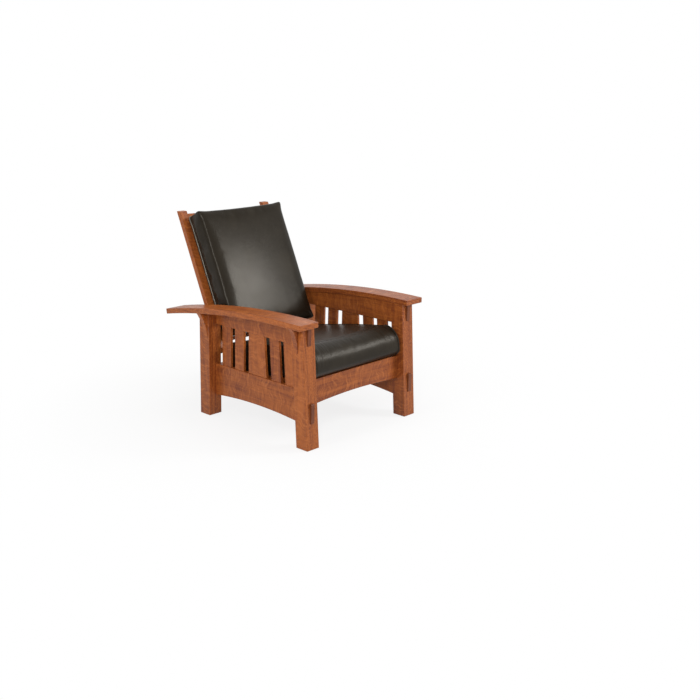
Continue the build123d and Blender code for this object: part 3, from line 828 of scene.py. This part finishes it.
def place_camera(scene, settings):
    """Set the camera up from the middle of the feet."""
    low, high = (Vector(corner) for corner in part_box("foot_glides"))
    feet = Vector(((low.x + high.x) / 2, (low.y + high.y) / 2, 0.0))
    camera = bpy.data.cameras.new("camera")
    camera.lens = settings.lens
    camera.sensor_width = SENSOR_WIDTH
    holder = bpy.data.objects.new("camera", camera)
    scene.collection.objects.link(holder)
    holder.location = Vector(settings.camera_place) + feet
    holder.rotation_euler = (math.pi / 2 - settings.camera_down, 0.0, settings.camera_turn)
    scene.camera = holder


# Operators


class CHAIR_OT_oak(bpy.types.Operator):
    """Finish every oak piece with its grain along its length"""

    bl_idname = "armchair.oak"
    bl_label = "Oak frame"

    def execute(self, context):
        settings = context.scene.armchair_oak
        lean = context.scene.armchair_cushion.lean
        for name, order, leaning, starts in OAKS:
            wood = oak(name, settings, order, lean if leaning else 0.0, END_GRAIN.get(name, 0.0))
            dress(nodes_called(starts), wood)
        return {"FINISHED"}


class CHAIR_OT_fittings(bpy.types.Operator):
    """Finish the bolts, screws, spacers, bushings and glides"""

    bl_idname = "armchair.fittings"
    bl_label = "Fittings"

    def execute(self, context):
        for name, tone, metallic, rough, marks, starts in FITTINGS:
            dress(nodes_called(starts), plain_finish(name, tone, metallic, rough, marks))
        return {"FINISHED"}


class CHAIR_OT_seat(bpy.types.Operator):
    """Make the seat cushion with its full front roll and its side seams"""

    bl_idname = "armchair.seat"
    bl_label = "Seat cushion"

    def execute(self, context):
        settings = context.scene.armchair_cushion
        hide = context.scene.armchair_leather
        slide = next(joint for joint in frame["joints"] if joint["name"] == "seat_lift_out")
        bench = Bench("seat_cushion", -Vector(slide["axis"]).normalized())
        piece = blank("seat_cushion_leather", "seat_cushion", bench, settings)
        inflate(piece, settings)
        raise_sides(piece, bench, settings)
        stretch(piece, bench)
        displace(piece, seat_folds(bench, settings))
        middle = bench.length / 2
        halfway = bench.height / 2
        outline = rounded_rectangle(middle, middle, halfway, halfway, SEAT_CORNER)
        finish = leather("seat_leather", hide, hide.base, hide.seat_gloss, SEAT_SHINE)
        piping = leather("seat_welt_leather", hide, hide.base, hide.seat_gloss, SEAT_WELT_SHINE)
        matrix = bench.matrix()
        for side, word in ((-1, "right"), (1, "left")):
            x = side * (bench.half - settings.seat_seam)
            loop = [Vector((x, y, z)) for y, z in outline]
            seam = welt("seat_welt_" + word, piece, loop, settings)
            finish_piece(seam, matrix, piping, "seat")
        finish_piece(piece, matrix, finish, "seat")
        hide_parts("seat_cushion")
        return {"FINISHED"}


class CHAIR_OT_back(bpy.types.Operator):
    """Make the back cushion with its welt"""

    bl_idname = "armchair.back"
    bl_label = "Back cushion"

    def execute(self, context):
        settings = context.scene.armchair_cushion
        hide = context.scene.armchair_leather
        bench = Bench("back_cushion", Vector((0.0, math.sin(settings.lean), math.cos(settings.lean))))
        piece = blank("back_cushion_leather", "back_cushion", bench, settings)
        inflate(piece, settings)
        flare_front(piece, bench, settings)
        pull_corners(piece, bench, settings)
        round_rolls(piece, bench, settings)
        stretch(piece, bench)
        middle = bench.length / 2
        outline = rounded_rectangle(bench.half, 0.0, middle, middle, BACK_CORNER)
        finish = leather("back_leather", hide, hide.base, hide.gloss, BACK_SHINE)
        # The back's welt takes the pale painted highlight as its colour instead of the dye
        piping = leather("back_welt_leather", hide, hide.painted_highlight, BACK_WELT_GLOSS, BACK_WELT_SHINE)
        matrix = bench.matrix()
        loop = [Vector((x, y, settings.back_seam)) for x, y in outline]
        seam = welt("back_welt", piece, loop, settings)
        finish_piece(seam, matrix, piping, "back")
        finish_piece(piece, matrix, finish, "back")
        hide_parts("back_cushion")
        return {"FINISHED"}


class CHAIR_OT_stage(bpy.types.Operator):
    """Set the floor, the soft lamps and the camera"""

    bl_idname = "armchair.stage"
    bl_label = "Stage"

    def execute(self, context):
        settings = context.scene.armchair_stage
        lay_floor(settings)
        light_all_round(context.scene, settings)
        for name, power, place, width, height, mirrored in LAMPS:
            hang_lamp(name, place, width, height, getattr(settings, power), mirrored)
        place_camera(context.scene, settings)
        context.scene.view_settings.view_transform = "Standard"
        return {"FINISHED"}


class CHAIR_PT_panel(bpy.types.Panel):
    """The armchair's operators in the sidebar"""

    bl_idname = "CHAIR_PT_panel"
    bl_label = "Armchair"
    bl_space_type = "VIEW_3D"
    bl_region_type = "UI"
    bl_category = "Armchair"

    def draw(self, context):
        for operator in OPERATORS:
            self.layout.operator(operator.bl_idname)


OPERATORS = (CHAIR_OT_oak, CHAIR_OT_fittings, CHAIR_OT_seat, CHAIR_OT_back, CHAIR_OT_stage)
GROUPS = {
    "armchair_oak": OakSettings,
    "armchair_leather": LeatherSettings,
    "armchair_cushion": CushionSettings,
    "armchair_stage": StageSettings,
}


def register():
    """Register the settings, the operators and the panel."""
    for name, group in GROUPS.items():
        bpy.utils.register_class(group)
        setattr(bpy.types.Scene, name, bpy.props.PointerProperty(type=group))
    for kind in (*OPERATORS, CHAIR_PT_panel):
        bpy.utils.register_class(kind)


def unregister():
    """Take everything out again."""
    for kind in (CHAIR_PT_panel, *reversed(OPERATORS)):
        bpy.utils.unregister_class(kind)
    for name, group in reversed(GROUPS.items()):
        delattr(bpy.types.Scene, name)
        bpy.utils.unregister_class(group)


def main():
    """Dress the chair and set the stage."""
    register()
    bpy.ops.armchair.oak()
    bpy.ops.armchair.fittings()
    bpy.ops.armchair.seat()
    bpy.ops.armchair.back()
    bpy.ops.armchair.stage()


if __name__ == "__main__":
    main()
